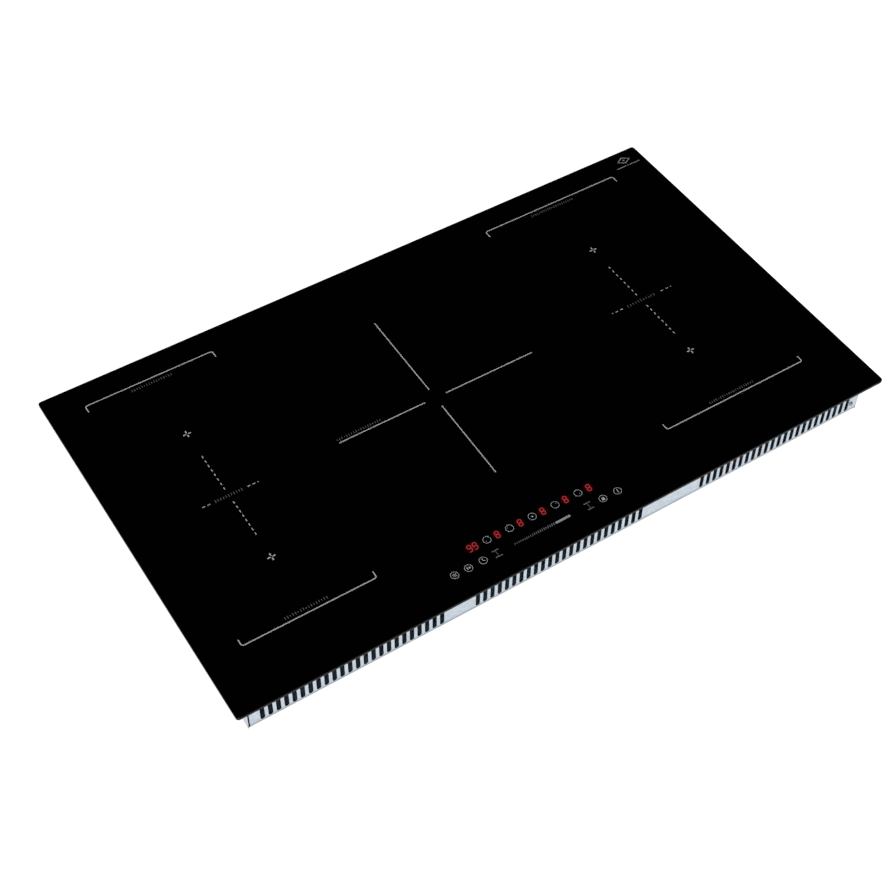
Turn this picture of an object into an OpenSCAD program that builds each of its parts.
// Built-in electric induction cooktop, five cooking zones.
// Origin: centre of the footprint at the underside of the chassis.
// X is the width, Y runs to the back, Z is up.

/* [Glass] */
// Width of the glass plate
glass_w = 900; // [880:1:940]
// Depth of the glass plate
glass_d = 520; // [510:1:540]
// Thickness of the glass plate
glass_t = 4; // [3.5:0.5:6]
// Corner radius of the glass plate
glass_r = 4; // [3:0.5:12]
// Height of the whole cooktop, from the chassis floor to the top of the glass
total_h = 59; // [58:0.5:60]

/* [Chassis] */
// Width of the chassis over both side panels
chassis_w = 866; // [860:1:868]
// Depth of the chassis over the front and back walls
chassis_d = 486; // [484:1:490]
// Thickness of the chassis sheet
sheet_t = 0.8; // [0.6:0.1:1]
// Inner radius of the folds between floor and walls
bend_r = 1.2; // [0.8:0.1:3]
// Open seam between the front wall and the left side panel
seam_left = 1.8; // [0.4:0.1:2.2]
// Seam between the front wall and the right side panel
seam_right = 0.4; // [0.2:0.1:1]

/* [Vents] */
// Width of one vent slot
slot_w = 5.8; // [4:0.2:6]
// Height of one vent slot
slot_h = 28.4; // [20:0.2:30]
// Distance from slot to slot
slot_pitch = 10; // [9:0.5:10]
// Height of the slots' lower ends above the floor
slot_z = 4.6; // [4:0.1:8]
// Slots in one group of the front wall
slot_count = 24; // [8:1:24]
// Slots in one group of the back wall
rear_slot_count = 14; // [4:1:16]

/* [Zones] */
// X position of the two left zones
left_x = -318; // [-320:1:-316]
// X position of the centre zone
centre_x = -34; // [-36:1:-32]
// X position of the two right zones
right_x = 280; // [278:1:282]
// Y position of the two rear zones
rear_y = 120; // [118:1:122]
// Y position of the two front zones
front_y = -92; // [-94:1:-90]
// Y position of the centre zone
centre_y = 11; // [8:1:14]
// Width of a bridge zone's winding
coil_w = 172; // [160:1:174]
// Depth of a bridge zone's winding
coil_d = 186; // [176:1:188]
// Outer radius of the centre winding
coil_r = 114; // [100:1:116]

/* [Fans] */
// Outer radius of a fan rotor
rotor_r = 42; // [38:0.5:42.5]
// Blades on a fan rotor
blade_count = 26; // [16:1:32]
// Radius of the fan shaft
shaft_r = 1.5; // [1:0.25:2]

/* [Terminal box] */
// X position of the terminal box
box_x = 138; // [137:0.5:139]
// Radius of the cable passage in the gland
cable_r = 6.5; // [5:0.25:7]

/* [Hidden] */
$fn = 64;
e = 0.01;
run_clearance = 0.05;

chassis_x = chassis_w / 2;
chassis_y = chassis_d / 2;
glass_z = total_h - glass_t;

// Heights of the layers, from the floor up
board_z = 6;
board_t = 1.6;
parts_z = board_z + board_t;
plate_t = 1.5;
plate_z = 32 - plate_t;
wall_top = glass_z - 1.4;
frame_t = 1.2;
frame_w = 12;
frame_leg = 14;
frame_gap = 0.4;
sheet_gap = 0.2;
seal_t = 2.4;
seal_w = 12;
seal_gap = 2;

// Heights of a coil's layers
spring_z = plate_z + plate_t + 0.05;
carrier_z = 40.5;
carrier_t = 3;
carrier_rim = 5;
carrier_hub_r = 28;
arm_w = 18;
sensor_hole_r = 7.5;
ferrite_z = carrier_z + carrier_t;
ferrite_t = 4.5;
winding_z = ferrite_z + ferrite_t;
winding_t = 5.6;
mica_z = winding_z + winding_t;
mica_t = 0.9;
pin_r = 2.5;
pin_drop = 13.5;
pin_hole_r = pin_r + 0.5;
spring_r = 4.8;
spring_wall = 1;
coil_hole_w = 54;
coil_hole_d = 68;
coil_corner_r = 44;
coil_hole_r = 20;
centre_hole_r = 30;
ferrite_w = 13;
ferrite_l = 46;

// Coil centres
REAR_LEFT = [left_x, rear_y];
FRONT_LEFT = [left_x, front_y];
CENTRE = [centre_x, centre_y];
REAR_RIGHT = [right_x, rear_y];
FRONT_RIGHT = [right_x, front_y];
pin_x = 70;
pin_y = 78;
centre_pin = 73;

// Carrying plates under the coils
side_plate_w = 190;
side_plate_y = [-196, 219];
centre_plate_w = 252;
centre_plate_y = [-118, 140];
pillar_r = 3.5;
pillar_inset = 5;
pillar_edge = 6;
pillar_foot = 1.5;
plate_r = 6;
plate_hole_r = 16;

// Power boards
power_w = 170;
power_y = [-215, 46];
power_pillars_y = [-207, -80, 38];
power_pillar_x = 78;
power_pillar_r = 3;
board_hole_r = 1.6;
sink_x = -62;
sink_w = 50;
sink_y = [-150, 40];
sink_base_z = parts_z + 5.4;
sink_base_t = 3.5;
sink_top = 27;
fin_count = 10;
fin_t = 1.3;
post_size = [8, 22, 7];
switch_size = [16, 20, 5.2];
film_cap_size = [30, 20, 15];
big_can = [9, 18];
small_can = [5, 12];
choke_r = [8, 18];
choke_h = 12;
relay_size = [26, 12, 9];
plug_size = [44, 10, 8];
post_rear = [-71, 17];
post_front = [66, -154];

// Fans
fan_y = 112;
fan_in_r = 33;
scroll_from = 250;
scroll_to = 540;
scroll_r0 = rotor_r + 3;
scroll_grow = 15;
scroll_wall = 1.5;
duct_y = -62;
fan_z = sheet_t;
fan_top = 27.2;
fan_plate_t = 1.5;
rotor_z = 4.6;
rotor_top = 24;
blade_t = 0.9;
hub_r = 15;
motor_boss_r = 8;

// Touch controls
key_row_y = -203.5;
low_row_y = -225.5;
key_x = [-100, -69, -37.5, -5.5, 27];
low_key_x = [-158, -139.5, -119.5, 47, 68];
slider_x = [-71, -54.5, -38, -21.5, -5];
digit_x = [-86, -54.5, -23, 9, 42];
timer_x = -120;
control_x = [-174, 84];
control_y = [-236, -186];
control_z = 42;
control_wall = 1.6;
control_board_z = 47;
key_spring_r = 4;
key_spring_wall = 0.6;
digit_size = [11, 16, 5.6];
timer_w = 19;
key_spring_top = glass_z - 0.1;

// Terminal box, cover and gland
box_w = 84;
box_y = [190, chassis_y - sheet_t - 0.1];
box_z = [2.4, 46];
box_wall = 2;
door_x = [box_x - 36, box_x + 6];
door_z = [8, 40];
cover_gap = 0.4;
cover_t = 1.8;
cover_margin = 3;
hinge_y = chassis_y + 3;
hinge_z = door_z[1] + 4.2;
hinge_pin_r = 1.2;
hinge_knuckle_r = 2.2;
poles = 5;
pole_w = 8;
lead_r = 1.5;
lead_z = 14;
lead_hole_r = lead_r + 0.4;
gland_x = box_x + 24;
gland_z = 23;
gland_r = 10;
gland_hole_r = gland_r + 0.2;
gland_nut_r = 13;

// Screws
screw_r = 1.4;
screw_hole_r = 1.5;
screw_head_r = 3.2;
screw_head_h = 1.6;
screw_l = 5;
end_screw_x = 423;
end_screw_z = 14;
side_screw_y = 186;
side_screw_z = 47;
screw_cut = 4;
screw_slot_w = 0.6;
bracket_hole_r = 1.75;
bracket_hole_y = 150;
bracket_hole_z = 30;

SLOT_GROUPS = [-299.4, -21.2, 301];
REAR_SLOT_GROUPS = [-255, 290];

// ---------- helpers ----------

// A block between two opposite corners
module block(low, high) {
    translate(low)
        cube(high - low);
}

// A plate with rounded corners, centred on X and Y and standing on z = 0
module round_plate(w, d, h, r) {
    cube_w = w - 2 * r;
    cube_d = d - 2 * r;
    translate([-cube_w / 2, -d / 2, 0])
        cube([cube_w, d, h]);
    translate([-w / 2, -cube_d / 2, 0])
        cube([w, cube_d, h]);
    for (sx = [-1, 1], sy = [-1, 1])
        translate([sx * cube_w / 2, sy * cube_d / 2, 0])
            cylinder(r = r, h = h);
}

// A slot with round ends through a wall that faces Y
module wall_slot(x, y, z, w, h, depth) {
    translate([x, y + depth, z])
        rotate([90, 0, 0])
            linear_extrude(height = depth) {
                translate([-w / 2, w / 2])
                    square([w, h - w]);
                translate([0, w / 2])
                    circle(r = w / 2);
                translate([0, h - w / 2])
                    circle(r = w / 2);
            }
}

// One group of vent slots, centred on x
module slot_group(x, y, count, depth) {
    for (i = [0 : count - 1])
        wall_slot(x + (i - (count - 1) / 2) * slot_pitch, y, slot_z, slot_w, slot_h, depth);
}

// A round bar between two points
module bar(from, to, r) {
    v = to - from;
    l = norm(v);
    translate(from)
        rotate([0, acos(v[2] / l), atan2(v[1], v[0])])
            cylinder(r = r, h = l);
}

// An insulated lead through a list of points, with a slightly fuller ball at each bend
module lead(points, r) {
    for (i = [0 : len(points) - 2])
        bar(points[i], points[i + 1], r);
    for (i = [1 : len(points) - 2])
        translate(points[i])
            sphere(r = 1.15 * r);
}

// ---------- glass and seal ----------

module glass_top() {
    color([0.02, 0.02, 0.022])
        translate([0, 0, glass_z])
            round_plate(glass_w, glass_d, glass_t, glass_r);
}

module seal_strip() {
    x0 = chassis_x + seal_gap;
    x1 = x0 + seal_w;
    y0 = chassis_y + seal_gap;
    y1 = y0 + seal_w;
    z0 = glass_z - seal_t;
    color([0.12, 0.12, 0.12]) {
        for (s = [-1, 1])
            translate([0, s * (y0 + y1) / 2, z0])
                translate([-x1, -seal_w / 2, 0])
                    cube([2 * x1, seal_w, seal_t]);
        for (s = [-1, 1])
            translate([s * (x0 + x1) / 2, 0, z0])
                translate([-seal_w / 2, -y0 + 0.1, 0])
                    cube([seal_w, 2 * y0 - 0.2, seal_t]);
    }
}

module glass_frame() {
    z0 = glass_z - frame_t;
    leg_y = chassis_y - sheet_t - frame_gap;
    leg_x = chassis_x - sheet_t - frame_gap;
    leg_w = chassis_w - 60;
    leg_d = chassis_d - 60;
    color([0.62, 0.64, 0.66])
        difference() {
            union() {
                difference() {
                    block([-chassis_x, -chassis_y, z0], [chassis_x, chassis_y, glass_z]);
                    block(
                        [-chassis_x + frame_w, -chassis_y + frame_w, z0 - 1],
                        [chassis_x - frame_w, chassis_y - frame_w, glass_z + 1]
                    );
                }
                for (s = [-1, 1])
                    translate([0, s * (leg_y - frame_t / 2), z0 - frame_leg])
                        translate([-leg_w / 2, -frame_t / 2, 0])
                            cube([leg_w, frame_t, frame_leg + e]);
                for (s = [-1, 1])
                    translate([s * (leg_x - frame_t / 2), 0, z0 - frame_leg])
                        translate([-frame_t / 2, -leg_d / 2, 0])
                            cube([frame_t, leg_d, frame_leg + e]);
            }
            for (s = [-1, 1], y = [-side_screw_y, side_screw_y])
                translate([s * leg_x, y, side_screw_z])
                    rotate([0, 90, 0])
                        cylinder(r = screw_hole_r, h = screw_cut + frame_t, center = true);
            block(
                [box_x - box_w / 2 - 3, chassis_y - frame_w - 4, z0 - frame_leg - 1],
                [box_x + box_w / 2 + 3, leg_y + 1, z0]
            );
        }
}

// ---------- chassis ----------

// The folded sheet seen from its end: floor, front wall and back wall
module tray_profile() {
    outer_r = bend_r + sheet_t;
    difference() {
        union() {
            translate([-chassis_y + outer_r, 0])
                square([chassis_d - 2 * outer_r, wall_top]);
            translate([-chassis_y, outer_r])
                square([chassis_d, wall_top - outer_r]);
            for (s = [-1, 1])
                translate([s * (chassis_y - outer_r), outer_r])
                    circle(r = outer_r);
        }
        translate([-chassis_y + outer_r, sheet_t])
            square([chassis_d - 2 * outer_r, wall_top]);
        translate([-chassis_y + sheet_t, outer_r])
            square([chassis_d - 2 * sheet_t, wall_top]);
        for (s = [-1, 1])
            translate([s * (chassis_y - outer_r), outer_r])
                circle(r = bend_r);
    }
}

// A field of intake slots in the floor, under a fan's inlet
module intake_slots(x, y) {
    rows = 9;
    pitch = 7;
    r = 2;
    for (i = [0 : rows - 1]) {
        off = (i - (rows - 1) / 2) * pitch;
        half = sqrt(fan_in_r * fan_in_r - off * off) - 2 * r;
        translate([x + off, y, -1])
            linear_extrude(height = sheet_t + 2) {
                translate([-r, -half])
                    square([2 * r, 2 * half]);
                for (s = [-1, 1])
                    translate([0, s * half])
                        circle(r = r);
            }
    }
}

module chassis_tray() {
    floor_x = chassis_x - sheet_t - sheet_gap;
    color([0.78, 0.80, 0.84])
        difference() {
            translate([-floor_x, 0, 0])
                rotate([90, 0, 90])
                    linear_extrude(height = 2 * floor_x)
                        tray_profile();
            block(
                [-chassis_x - 1, -chassis_y - 1, bend_r + sheet_t],
                [-chassis_x + sheet_t + seam_left, -chassis_y + 3, wall_top + 1]
            );
            block(
                [chassis_x - sheet_t - seam_right, -chassis_y - 1, bend_r + sheet_t],
                [chassis_x + 1, -chassis_y + 3, wall_top + 1]
            );
            for (x = SLOT_GROUPS)
                slot_group(x, -chassis_y - 1, slot_count, sheet_t + 2);
            for (x = REAR_SLOT_GROUPS)
                slot_group(x, chassis_y - sheet_t - 1, rear_slot_count, sheet_t + 2);
            for (x = [left_x, right_x])
                intake_slots(x, fan_y);
            for (x = [-end_screw_x, end_screw_x])
                translate([x, chassis_y, end_screw_z])
                    rotate([90, 0, 0])
                        cylinder(r = screw_hole_r, h = screw_cut, center = true);
            translate([end_screw_x, -chassis_y, end_screw_z])
                rotate([90, 0, 0])
                    cylinder(r = screw_hole_r, h = screw_cut, center = true);
            block(
                [door_x[0], chassis_y - 2, door_z[0]],
                [door_x[1], chassis_y + 1, hinge_z + hinge_knuckle_r + 0.6]
            );
            translate([gland_x, chassis_y, gland_z])
                rotate([90, 0, 0])
                    cylinder(r = gland_hole_r, h = 4, center = true);
        }
}

// A side panel: side = -1 is the left one. front_flange adds the lip behind the front wall.
module side_panel(side, front_flange) {
    x_out = chassis_x;
    x_in = chassis_x - sheet_t;
    lip = 13;
    lip_y = chassis_y - sheet_t - sheet_gap;
    lip_z = [2.4, 34];
    floor_lip = 300;
    color([0.76, 0.78, 0.82])
        mirror([side < 0 ? 1 : 0, 0, 0])
            difference() {
                union() {
                    block([x_in, -chassis_y, 0], [x_out, chassis_y, wall_top]);
                    block([x_in - lip, lip_y - sheet_t, lip_z[0]], [x_in + e, lip_y, lip_z[1]]);
                    if (front_flange)
                        block([x_in - lip, -lip_y, lip_z[0]], [x_in + e, -lip_y + sheet_t, lip_z[1]]);
                    block(
                        [x_in - lip, -floor_lip / 2, sheet_t + sheet_gap],
                        [x_in + e, floor_lip / 2, 2 * sheet_t + sheet_gap]
                    );
                }
                for (y = [-lip_y, lip_y])
                    translate([end_screw_x, y, end_screw_z])
                        rotate([90, 0, 0])
                            cylinder(r = screw_hole_r, h = screw_cut, center = true);
                for (y = [-side_screw_y, side_screw_y])
                    translate([x_out, y, side_screw_z])
                        rotate([0, 90, 0])
                            cylinder(r = screw_hole_r, h = screw_cut, center = true);
                for (y = [-bracket_hole_y, bracket_hole_y])
                    translate([x_out, y, bracket_hole_z])
                        rotate([0, 90, 0])
                            cylinder(r = bracket_hole_r, h = screw_cut, center = true);
            }
}

module side_panel_left() {
    side_panel(-1, false);
}

module side_panel_right() {
    side_panel(1, true);
}

// A pan-head screw that points along +Z, with its head below z = 0
module screw() {
    translate([0, 0, -screw_head_h])
        difference() {
            cylinder(r1 = screw_head_r - 0.8, r2 = screw_head_r, h = screw_head_h);
            for (a = [0, 90])
                rotate(a)
                    translate([-1.8, -screw_slot_w / 2, -1])
                        cube([3.6, screw_slot_w, 1.8]);
        }
    translate([0, 0, -e])
        cylinder(r = screw_r, h = screw_l);
}

module panel_screws() {
    color([0.70, 0.71, 0.73]) {
        translate([end_screw_x, -chassis_y, end_screw_z])
            rotate([-90, 0, 0])
                screw();
        for (x = [-end_screw_x, end_screw_x])
            translate([x, chassis_y, end_screw_z])
                rotate([90, 0, 0])
                    screw();
        for (s = [-1, 1], y = [-side_screw_y, side_screw_y])
            translate([s * chassis_x, y, side_screw_z])
                rotate([0, -s * 90, 0])
                    screw();
    }
}

// ---------- plates and pillars ----------

// A carrying plate with the guide holes of the coils that stand on it
module coil_plate(x, w, ys, centres, dx, dy) {
    color([0.80, 0.81, 0.82])
        difference() {
            translate([x, (ys[0] + ys[1]) / 2, plate_z])
                round_plate(w, ys[1] - ys[0], plate_t, plate_r);
            for (c = centres, sx = [-1, 1], sy = [-1, 1])
                translate([c[0] + sx * dx, c[1] + sy * dy, plate_z - 1])
                    cylinder(r = pin_hole_r, h = plate_t + 2);
            for (c = centres)
                translate([c[0], c[1], plate_z - 1])
                    cylinder(r = plate_hole_r, h = plate_t + 2);
        }
}

module coil_plate_left() {
    coil_plate(left_x, side_plate_w, side_plate_y, [REAR_LEFT, FRONT_LEFT], pin_x, pin_y);
}

module coil_plate_centre() {
    coil_plate(centre_x, centre_plate_w, centre_plate_y, [CENTRE], centre_pin, centre_pin);
}

module coil_plate_right() {
    coil_plate(right_x, side_plate_w, side_plate_y, [REAR_RIGHT, FRONT_RIGHT], pin_x, pin_y);
}

module pillar(x, y, r, top) {
    translate([x, y, sheet_t])
        cylinder(r = r, h = top - sheet_t);
    translate([x, y, sheet_t])
        cylinder(r = r + pillar_foot, h = pillar_foot);
}

module support_pillars() {
    side_pillars_y = [side_plate_y[0] + pillar_edge, 14, side_plate_y[1] - pillar_edge];
    color([0.90, 0.90, 0.86]) {
        for (x = [left_x, right_x], s = [-1, 1], y = side_pillars_y)
            pillar(x + s * (side_plate_w / 2 - pillar_inset), y, pillar_r, plate_z);
        for (s = [-1, 1], y = [centre_plate_y[0] + pillar_edge, centre_plate_y[1] - pillar_edge])
            pillar(centre_x + s * (centre_plate_w / 2 - pillar_edge), y, pillar_r, plate_z);
        for (x = [left_x, right_x], s = [-1, 1], y = power_pillars_y)
            pillar(x + s * power_pillar_x, y, power_pillar_r, board_z);
    }
}

// ---------- power electronics ----------

module power_board(x) {
    color([0.10, 0.34, 0.20])
        difference() {
            block([x - power_w / 2, power_y[0], board_z], [x + power_w / 2, power_y[1], parts_z]);
            for (s = [-1, 1], y = power_pillars_y)
                translate([x + s * power_pillar_x, y, board_z - 1])
                    cylinder(r = board_hole_r, h = board_t + 2);
        }
}

module power_board_left() {
    power_board(left_x);
}

module power_board_right() {
    power_board(right_x);
}

// Finned extrusion that lies in front of the fan's outlet
module heat_sink(x) {
    l = sink_y[1] - sink_y[0];
    gap = (sink_w - fin_t) / (fin_count - 1);
    color([0.72, 0.73, 0.75])
        translate([x + sink_x, sink_y[1], sink_base_z])
            rotate([90, 0, 0])
                linear_extrude(height = l) {
                    square([sink_w, sink_base_t]);
                    for (i = [0 : fin_count - 1])
                        translate([i * gap, sink_base_t - e])
                            square([fin_t, sink_top - sink_base_z - sink_base_t + e]);
                }
}

module heat_sink_left() {
    heat_sink(left_x);
}

module heat_sink_right() {
    heat_sink(right_x);
}

// An upright can capacitor or a ring choke standing on the board
module can(x, y, r, h) {
    translate([x, y, parts_z])
        cylinder(r = r, h = h);
}

module power_parts(x) {
    color([0.20, 0.20, 0.22]) {
        for (column = [6, 28], i = [0 : 3])
            translate([x + sink_x + column, sink_y[0] + 16 + i * 48, parts_z])
                cube(switch_size);
        for (i = [0 : 2])
            translate([x + 4, -60 + i * 30, parts_z])
                cube(film_cap_size);
        for (i = [0 : 2])
            can(x + 52, -100 + i * 30, big_can[0], big_can[1]);
        for (i = [0 : 1])
            translate([x + 20, -120 - i * 44, parts_z])
                difference() {
                    cylinder(r = choke_r[1], h = choke_h);
                    translate([0, 0, -1])
                        cylinder(r = choke_r[0], h = choke_h + 2);
                }
        for (i = [0 : 3])
            can(x - 74, -200 + i * 16, small_can[0], small_can[1]);
        for (p = [post_rear, post_front])
            translate([x + p[0], p[1], parts_z])
                cube(post_size);
        translate([x + 44, -206, parts_z])
            cube(relay_size);
        translate([x - 50, -206, parts_z])
            cube(plug_size);
    }
}

module power_parts_left() {
    power_parts(left_x);
}

module power_parts_right() {
    power_parts(right_x);
}

// ---------- fans ----------

// Outline of the scroll, shrunk by wall for its inside
module scroll_outline(wall) {
    steps = 29;
    tongue_x = scroll_r0 * cos(scroll_from);
    spiral = [
        for (i = [0 : steps])
            let (a = scroll_from + (scroll_to - scroll_from) * i / steps)
            let (r = scroll_r0 + scroll_grow * i / steps - wall)
            [r * cos(a), r * sin(a)]
    ];
    polygon(concat(spiral, [
        [-scroll_r0 - scroll_grow + wall, duct_y - wall],
        [tongue_x - wall, duct_y - wall]
    ]));
}

module fan_housing(x) {
    color([0.16, 0.16, 0.17])
        translate([x, fan_y, 0]) {
            difference() {
                translate([0, 0, fan_z])
                    linear_extrude(height = fan_top - fan_z)
                        scroll_outline(0);
                translate([0, 0, fan_z + fan_plate_t])
                    linear_extrude(height = fan_top - fan_z - 2 * fan_plate_t)
                        scroll_outline(scroll_wall);
                translate([0, 0, -1])
                    cylinder(r = fan_in_r, h = fan_z + fan_plate_t + 2);
            }
            translate([0, 0, rotor_z + 1.4])
                cylinder(r = shaft_r, h = fan_top - rotor_z - 2);
            translate([0, 0, rotor_top + 0.4])
                cylinder(r = motor_boss_r, h = fan_top - rotor_top - 0.9);
        }
}

module fan_housing_left() {
    fan_housing(left_x);
}

module fan_housing_right() {
    fan_housing(right_x);
}

// Rotor of a radial fan: disc, hub, ring and curved blades
module fan_rotor(x) {
    blade_l = 9;
    blade_turn = -38;
    disc_t = 1.4;
    ring_t = 1.6;
    ring_w = 2.5;
    color([0.85, 0.85, 0.83])
        translate([x, fan_y, 0])
            difference() {
                union() {
                    translate([0, 0, rotor_top - disc_t])
                        cylinder(r = rotor_r, h = disc_t);
                    translate([0, 0, rotor_z + 2])
                        cylinder(r = hub_r, h = rotor_top - rotor_z - 2);
                    difference() {
                        translate([0, 0, rotor_z])
                            cylinder(r = rotor_r, h = ring_t);
                        translate([0, 0, rotor_z - 1])
                            cylinder(r = rotor_r - ring_w, h = ring_t + 2);
                    }
                    for (i = [0 : blade_count - 1])
                        rotate(i * 360 / blade_count)
                            translate([rotor_r - 5.6, 0, rotor_z + 0.2])
                                rotate(blade_turn)
                                    translate([-4.6, -blade_t / 2, 0])
                                        cube([blade_l, blade_t, rotor_top - rotor_z - 0.4]);
                }
                translate([0, 0, rotor_z - 1])
                    cylinder(r = shaft_r + run_clearance, h = rotor_top - rotor_z + 2);
            }
}

module fan_rotor_left() {
    fan_rotor(left_x);
}

module fan_rotor_right() {
    fan_rotor(right_x);
}

// ---------- touch controls ----------

module control_carrier() {
    middle = (control_x[0] + control_x[1]) / 2;
    color([0.22, 0.22, 0.23]) {
        difference() {
            block(
                [control_x[0], control_y[0], control_z],
                [control_x[1], control_y[1], control_board_z + 4]
            );
            block(
                [control_x[0] + control_wall, control_y[0] + control_wall, control_board_z - 2],
                [control_x[1] - control_wall, control_y[1] - control_wall, glass_z]
            );
        }
        for (x = [control_x[0] + 6, middle, control_x[1] - 6], y = [control_y[0] + 4, control_y[1] - 4])
            translate([x, y, sheet_t])
                cylinder(r = 3, h = control_z - sheet_t + e);
        for (x = [control_x[0] + 8, middle, control_x[1] - 8])
            block(
                [x - 3, control_y[0] + 1, control_board_z - 2 - e],
                [x + 3, control_y[1] - 1, control_board_z]
            );
    }
}

module control_board() {
    m = control_wall + 0.4;
    color([0.09, 0.30, 0.18])
        block(
            [control_x[0] + m, control_y[0] + m, control_board_z],
            [control_x[1] - m, control_y[1] - m, control_board_z + board_t]
        );
}

// One contact spring under a touch key
module key_spring(x, y) {
    z0 = control_board_z + board_t;
    translate([x, y, z0])
        difference() {
            cylinder(r = key_spring_r, h = key_spring_top - z0);
            translate([0, 0, -1])
                cylinder(r = key_spring_r - key_spring_wall, h = key_spring_top - z0 + 2);
        }
}

module touch_springs() {
    color([0.80, 0.76, 0.60]) {
        for (x = key_x)
            key_spring(x, key_row_y);
        for (x = low_key_x)
            key_spring(x, low_row_y);
        for (x = slider_x)
            key_spring(x, low_row_y);
    }
}

module led_displays() {
    y0 = key_row_y - digit_size[1] / 2;
    z0 = control_board_z + board_t;
    color([0.92, 0.92, 0.90]) {
        for (x = digit_x)
            translate([x - digit_size[0] / 2, y0, z0])
                cube(digit_size);
        translate([timer_x - timer_w / 2, y0, z0])
            cube([timer_w, digit_size[1], digit_size[2]]);
    }
}

// ---------- mains connection ----------

module terminal_box() {
    x0 = box_x - box_w / 2;
    x1 = box_x + box_w / 2;
    ear_l = door_x[0] + 3;
    ear_r = door_x[1] - 3;
    ear_t = 3;
    pin_l = 5;
    color([0.24, 0.24, 0.25]) {
        difference() {
            block([x0, box_y[0], box_z[0]], [x1, box_y[1], box_z[1]]);
            block(
                [x0 + box_wall, box_y[0] + box_wall, box_z[0] + box_wall],
                [x1 - box_wall, box_y[1] - box_wall, box_z[1] - box_wall]
            );
            block([door_x[0], box_y[1] - box_wall - 1, door_z[0]], [door_x[1], box_y[1] + 1, door_z[1]]);
            translate([gland_x, box_y[1], gland_z])
                rotate([90, 0, 0])
                    cylinder(r = gland_hole_r, h = 3 * box_wall, center = true);
            for (i = [0 : poles - 1])
                translate([door_x[0] + 1 + (i + 0.5) * pole_w, box_y[0], lead_z])
                    rotate([90, 0, 0])
                        cylinder(r = lead_hole_r, h = 3 * box_wall, center = true);
        }
        for (x = [ear_l - ear_t / 2, ear_r + ear_t / 2]) {
            translate([x - ear_t / 2, box_y[1] - e, hinge_z - hinge_knuckle_r])
                cube([ear_t, hinge_y - box_y[1] + e, 2 * hinge_knuckle_r]);
            translate([x, hinge_y, hinge_z])
                rotate([0, 90, 0])
                    cylinder(r = hinge_knuckle_r, h = ear_t, center = true);
        }
        translate([ear_l - e, hinge_y, hinge_z])
            rotate([0, 90, 0])
                cylinder(r = hinge_pin_r, h = pin_l);
        translate([ear_r + e, hinge_y, hinge_z])
            rotate([0, -90, 0])
                cylinder(r = hinge_pin_r, h = pin_l);
    }
}

module terminal_block() {
    x0 = door_x[0] + 1;
    y0 = 206;
    y1 = 224;
    z0 = box_z[0] + box_wall;
    z1 = 26;
    screw_z = z1 - 7;
    screw_recess_r = 2.6;
    color([0.88, 0.88, 0.84])
        difference() {
            block([x0, y0, z0], [x0 + poles * pole_w, y1, z1]);
            for (i = [0 : poles - 1])
                translate([x0 + (i + 0.5) * pole_w, y1, screw_z])
                    rotate([90, 0, 0])
                        cylinder(r = screw_recess_r, h = 20, center = true);
            for (i = [0 : poles - 1])
                translate([x0 + (i + 0.5) * pole_w, y0 - 1, lead_z])
                    rotate([-90, 0, 0])
                        cylinder(r = lead_hole_r, h = 8);
        }
    color([0.80, 0.66, 0.30])
        for (i = [0 : poles - 1])
            translate([x0 + (i + 0.5) * pole_w, y1 - 2, screw_z])
                rotate([90, 0, 0])
                    difference() {
                        cylinder(r = screw_recess_r - 0.1, h = 6);
                        translate([-3, -0.4, -1])
                            cube([6, 0.8, 1.8]);
                    }
}

module terminal_cover() {
    y0 = chassis_y + cover_gap;
    x0 = door_x[0] + 3.4;
    x1 = door_x[1] - 3.4;
    knuckle = 4.4;
    rib_count = 5;
    rib_pitch = 6.6;
    rib_w = 2.4;
    color([0.20, 0.20, 0.21])
        difference() {
            union() {
                block(
                    [door_x[0] - cover_margin, y0, door_z[0] - cover_margin],
                    [door_x[1] + cover_margin, y0 + cover_t, door_z[1] - 1]
                );
                for (i = [0 : rib_count - 1])
                    translate([x0 + 2 + i * rib_pitch, y0 + cover_t - e, door_z[0] + 3])
                        cube([rib_w, 1 + e, door_z[1] - door_z[0] - 11]);
                for (x = [x0, x1 - knuckle]) {
                    translate([x, hinge_y, hinge_z])
                        rotate([0, 90, 0])
                            cylinder(r = hinge_knuckle_r, h = knuckle);
                    block([x, hinge_y - 0.8, door_z[1] - 2], [x + knuckle, hinge_y + 0.8, hinge_z]);
                    block([x, y0, door_z[1] - 3], [x + knuckle, hinge_y + 0.8, door_z[1] - 1]);
                }
            }
            for (x = [x0 - 1, x1 - knuckle - 1])
                translate([x, hinge_y, hinge_z])
                    rotate([0, 90, 0])
                        cylinder(r = hinge_pin_r + run_clearance, h = knuckle + 2);
        }
}

// Screw gland: hexagon body outside, threaded neck through the wall, lock nut inside the box
module cable_gland() {
    out_l = 12;
    body_l = 5;
    neck_l = 9;
    nut_t = 4;
    color([0.82, 0.82, 0.82])
        translate([gland_x, chassis_y, gland_z])
            rotate([-90, 0, 0])
                difference() {
                    union() {
                        cylinder(r = gland_nut_r, h = body_l, $fn = 6);
                        translate([0, 0, body_l - e])
                            cylinder(r1 = 11, r2 = 9.5, h = out_l - body_l);
                        translate([0, 0, -neck_l])
                            cylinder(r = gland_r, h = neck_l + 1);
                        translate([0, 0, -sheet_t - 0.1 - box_wall - 0.1 - nut_t])
                            cylinder(r = gland_nut_r, h = nut_t, $fn = 6);
                    }
                    translate([0, 0, -neck_l - 1])
                        cylinder(r = cable_r, h = neck_l + out_l + 2);
                }
}

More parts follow.
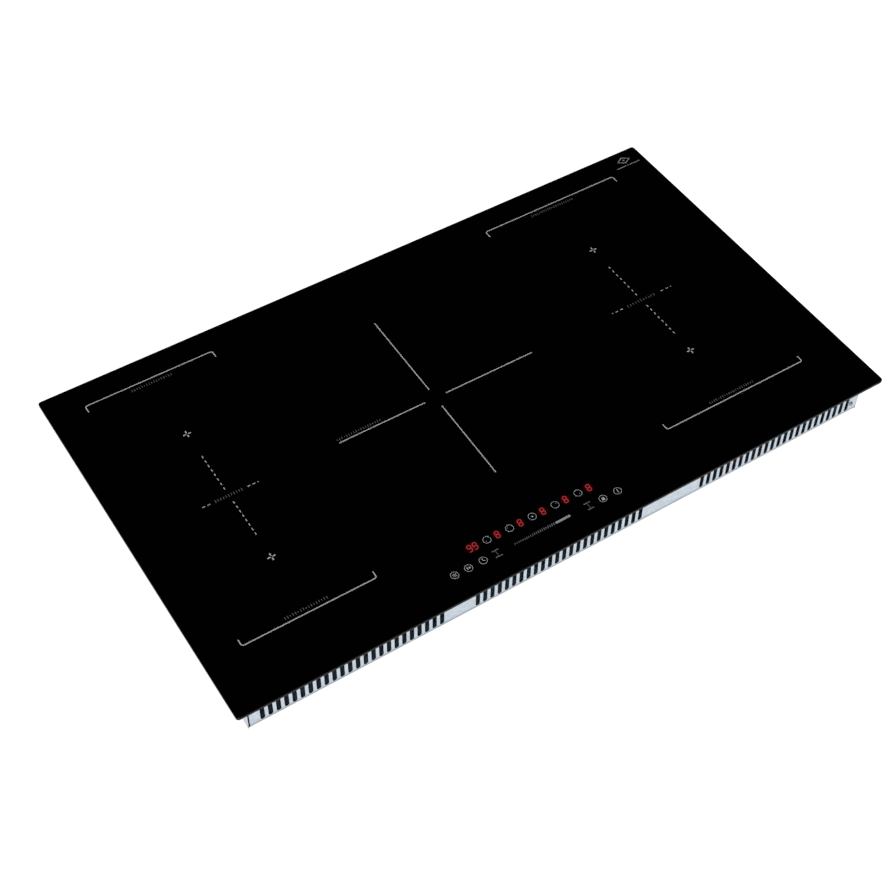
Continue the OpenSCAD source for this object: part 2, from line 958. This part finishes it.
module supply_leads() {
    low = 12;
    lead_pitch = 6;
    turn_y = 120;
    from_y = 204;
    x0 = door_x[0] + 1 + pole_w / 2;
    color([0.30, 0.42, 0.62]) {
        for (i = [0 : 1])
            lead([
                [x0 + i * pole_w, from_y, lead_z],
                [x0 + i * pole_w, turn_y, lead_z],
                [x0 + i * pole_w, -140 - i * lead_pitch, low],
                [left_x + post_front[0] + post_size[0], -140 - i * lead_pitch, low]
            ], lead_r);
        for (i = [2 : 4])
            lead([
                [x0 + i * pole_w, from_y, lead_z],
                [x0 + i * pole_w, turn_y, lead_z],
                [x0 + i * pole_w, 10 + i * lead_pitch, low],
                [right_x + post_rear[0], 10 + i * lead_pitch, low]
            ], lead_r);
    }
}

// ---------- coils ----------

// Sprung carrier of a bridge coil
module side_carrier(c) {
    color([0.28, 0.28, 0.29])
        translate([c[0], c[1], carrier_z]) {
            difference() {
                round_plate(coil_w, coil_d, carrier_t, coil_corner_r / 2);
                translate([0, 0, -1])
                    round_plate(
                        coil_w - 2 * carrier_rim,
                        coil_d - 2 * carrier_rim,
                        carrier_t + 2,
                        coil_corner_r / 2 - carrier_rim
                    );
            }
            difference() {
                union() {
                    cylinder(r = carrier_hub_r, h = carrier_t);
                    for (a = [0, 90])
                        rotate(a)
                            translate([-(a == 0 ? coil_w : coil_d) / 2 + 2, -arm_w / 2, 0])
                                cube([(a == 0 ? coil_w : coil_d) - 4, arm_w, carrier_t]);
                    for (s = [-1, 1])
                        rotate(s * 48)
                            translate([-(pin_x + pin_y) / 2 - 34, -arm_w / 2, 0])
                                cube([pin_x + pin_y + 68, arm_w, carrier_t]);
                }
                translate([0, 0, -1])
                    cylinder(r = sensor_hole_r, h = carrier_t + 2);
            }
            for (sx = [-1, 1], sy = [-1, 1])
                translate([sx * pin_x, sy * pin_y, -pin_drop])
                    cylinder(r = pin_r, h = pin_drop + e);
        }
}

// Sprung carrier of the round centre coil
module round_carrier(c) {
    color([0.28, 0.28, 0.29])
        translate([c[0], c[1], carrier_z]) {
            difference() {
                cylinder(r = coil_r, h = carrier_t);
                translate([0, 0, -1])
                    cylinder(r = coil_r - carrier_rim, h = carrier_t + 2);
            }
            difference() {
                union() {
                    cylinder(r = carrier_hub_r, h = carrier_t);
                    for (a = [0 : 45 : 135])
                        rotate(a)
                            translate([-coil_r + 2, -arm_w / 2, 0])
                                cube([2 * coil_r - 4, arm_w, carrier_t]);
                }
                translate([0, 0, -1])
                    cylinder(r = sensor_hole_r, h = carrier_t + 2);
            }
            for (sx = [-1, 1], sy = [-1, 1])
                translate([sx * centre_pin, sy * centre_pin, -pin_drop])
                    cylinder(r = pin_r, h = pin_drop + e);
        }
}

module side_winding(c) {
    color([0.76, 0.42, 0.20])
        translate([c[0], c[1], winding_z])
            difference() {
                round_plate(coil_w - 2, coil_d - 2, winding_t, coil_corner_r);
                translate([0, 0, -1])
                    round_plate(coil_hole_w, coil_hole_d, winding_t + 2, coil_hole_r);
            }
}

module round_winding(c) {
    color([0.76, 0.42, 0.20])
        translate([c[0], c[1], winding_z])
            difference() {
                cylinder(r = coil_r - 1, h = winding_t);
                translate([0, 0, -1])
                    cylinder(r = centre_hole_r, h = winding_t + 2);
            }
}

// Eight ferrite bars in a star under a winding
module ferrite_star(c, from, diagonal_from, diagonal) {
    color([0.20, 0.20, 0.21])
        translate([c[0], c[1], ferrite_z])
            for (i = [0 : 3]) {
                rotate(i * 90)
                    translate([from, -ferrite_w / 2, 0])
                        cube([ferrite_l, ferrite_w, ferrite_t]);
                rotate(i % 2 == 0 ? i * 90 + diagonal : i * 90 + 90 - diagonal)
                    translate([diagonal_from, -ferrite_w / 2, 0])
                        cube([ferrite_l, ferrite_w, ferrite_t]);
            }
}

module side_mica(c) {
    color([0.86, 0.84, 0.76])
        translate([c[0], c[1], mica_z])
            difference() {
                round_plate(coil_w, coil_d, mica_t, coil_corner_r);
                translate([0, 0, -1])
                    cylinder(r = 7, h = mica_t + 2);
            }
}

module round_mica(c) {
    color([0.86, 0.84, 0.76])
        translate([c[0], c[1], mica_z])
            difference() {
                cylinder(r = coil_r, h = mica_t);
                translate([0, 0, -1])
                    cylinder(r = 7, h = mica_t + 2);
            }
}

// Rubber-booted temperature sensor in the middle of a coil
module heat_sensor(c) {
    flange_t = 1.6;
    color([0.62, 0.20, 0.14])
        translate([c[0], c[1], 0]) {
            translate([0, 0, carrier_z + carrier_t])
                cylinder(r = 11, h = flange_t);
            translate([0, 0, carrier_z - 3])
                cylinder(r = 7, h = carrier_t + 3 + e);
            translate([0, 0, carrier_z + carrier_t + flange_t - e])
                cylinder(r = 6.2, h = mica_z + mica_t - carrier_z - carrier_t - flange_t);
        }
}

// Four coil springs round the guide pins
module coil_springs(c, dx, dy) {
    color([0.75, 0.76, 0.78])
        for (sx = [-1, 1], sy = [-1, 1])
            translate([c[0] + sx * dx, c[1] + sy * dy, spring_z])
                difference() {
                    cylinder(r = spring_r, h = carrier_z - spring_z - 0.05);
                    translate([0, 0, -1])
                        cylinder(r = spring_r - spring_wall, h = carrier_z - spring_z + 2);
                }
}

module coil_carrier_rear_left() { side_carrier(REAR_LEFT); }
module coil_winding_rear_left() { side_winding(REAR_LEFT); }
module ferrites_rear_left() { ferrite_star(REAR_LEFT, 34, 42, 48); }
module mica_sheet_rear_left() { side_mica(REAR_LEFT); }
module heat_sensor_rear_left() { heat_sensor(REAR_LEFT); }
module coil_springs_rear_left() { coil_springs(REAR_LEFT, pin_x, pin_y); }

module coil_carrier_front_left() { side_carrier(FRONT_LEFT); }
module coil_winding_front_left() { side_winding(FRONT_LEFT); }
module ferrites_front_left() { ferrite_star(FRONT_LEFT, 34, 42, 48); }
module mica_sheet_front_left() { side_mica(FRONT_LEFT); }
module heat_sensor_front_left() { heat_sensor(FRONT_LEFT); }
module coil_springs_front_left() { coil_springs(FRONT_LEFT, pin_x, pin_y); }

module coil_carrier_centre() { round_carrier(CENTRE); }
module coil_winding_centre() { round_winding(CENTRE); }
module ferrites_centre() { ferrite_star(CENTRE, 50, 50, 45); }
module mica_sheet_centre() { round_mica(CENTRE); }
module heat_sensor_centre() { heat_sensor(CENTRE); }
module coil_springs_centre() { coil_springs(CENTRE, centre_pin, centre_pin); }

module coil_carrier_rear_right() { side_carrier(REAR_RIGHT); }
module coil_winding_rear_right() { side_winding(REAR_RIGHT); }
module ferrites_rear_right() { ferrite_star(REAR_RIGHT, 34, 42, 48); }
module mica_sheet_rear_right() { side_mica(REAR_RIGHT); }
module heat_sensor_rear_right() { heat_sensor(REAR_RIGHT); }
module coil_springs_rear_right() { coil_springs(REAR_RIGHT, pin_x, pin_y); }

module coil_carrier_front_right() { side_carrier(FRONT_RIGHT); }
module coil_winding_front_right() { side_winding(FRONT_RIGHT); }
module ferrites_front_right() { ferrite_star(FRONT_RIGHT, 34, 42, 48); }
module mica_sheet_front_right() { side_mica(FRONT_RIGHT); }
module heat_sensor_front_right() { heat_sensor(FRONT_RIGHT); }
module coil_springs_front_right() { coil_springs(FRONT_RIGHT, pin_x, pin_y); }

glass_top();
seal_strip();
glass_frame();
chassis_tray();
side_panel_left();
side_panel_right();
panel_screws();
coil_plate_left();
coil_plate_centre();
coil_plate_right();
support_pillars();
power_board_left();
power_board_right();
heat_sink_left();
heat_sink_right();
power_parts_left();
power_parts_right();
fan_housing_left();
fan_housing_right();
fan_rotor_left();
fan_rotor_right();
control_carrier();
control_board();
touch_springs();
led_displays();
terminal_box();
terminal_block();
terminal_cover();
cable_gland();
supply_leads();
coil_carrier_rear_left();
coil_winding_rear_left();
ferrites_rear_left();
mica_sheet_rear_left();
heat_sensor_rear_left();
coil_springs_rear_left();
coil_carrier_front_left();
coil_winding_front_left();
ferrites_front_left();
mica_sheet_front_left();
heat_sensor_front_left();
coil_springs_front_left();
coil_carrier_centre();
coil_winding_centre();
ferrites_centre();
mica_sheet_centre();
heat_sensor_centre();
coil_springs_centre();
coil_carrier_rear_right();
coil_winding_rear_right();
ferrites_rear_right();
mica_sheet_rear_right();
heat_sensor_rear_right();
coil_springs_rear_right();
coil_carrier_front_right();
coil_winding_front_right();
ferrites_front_right();
mica_sheet_front_right();
heat_sensor_front_right();
coil_springs_front_right();
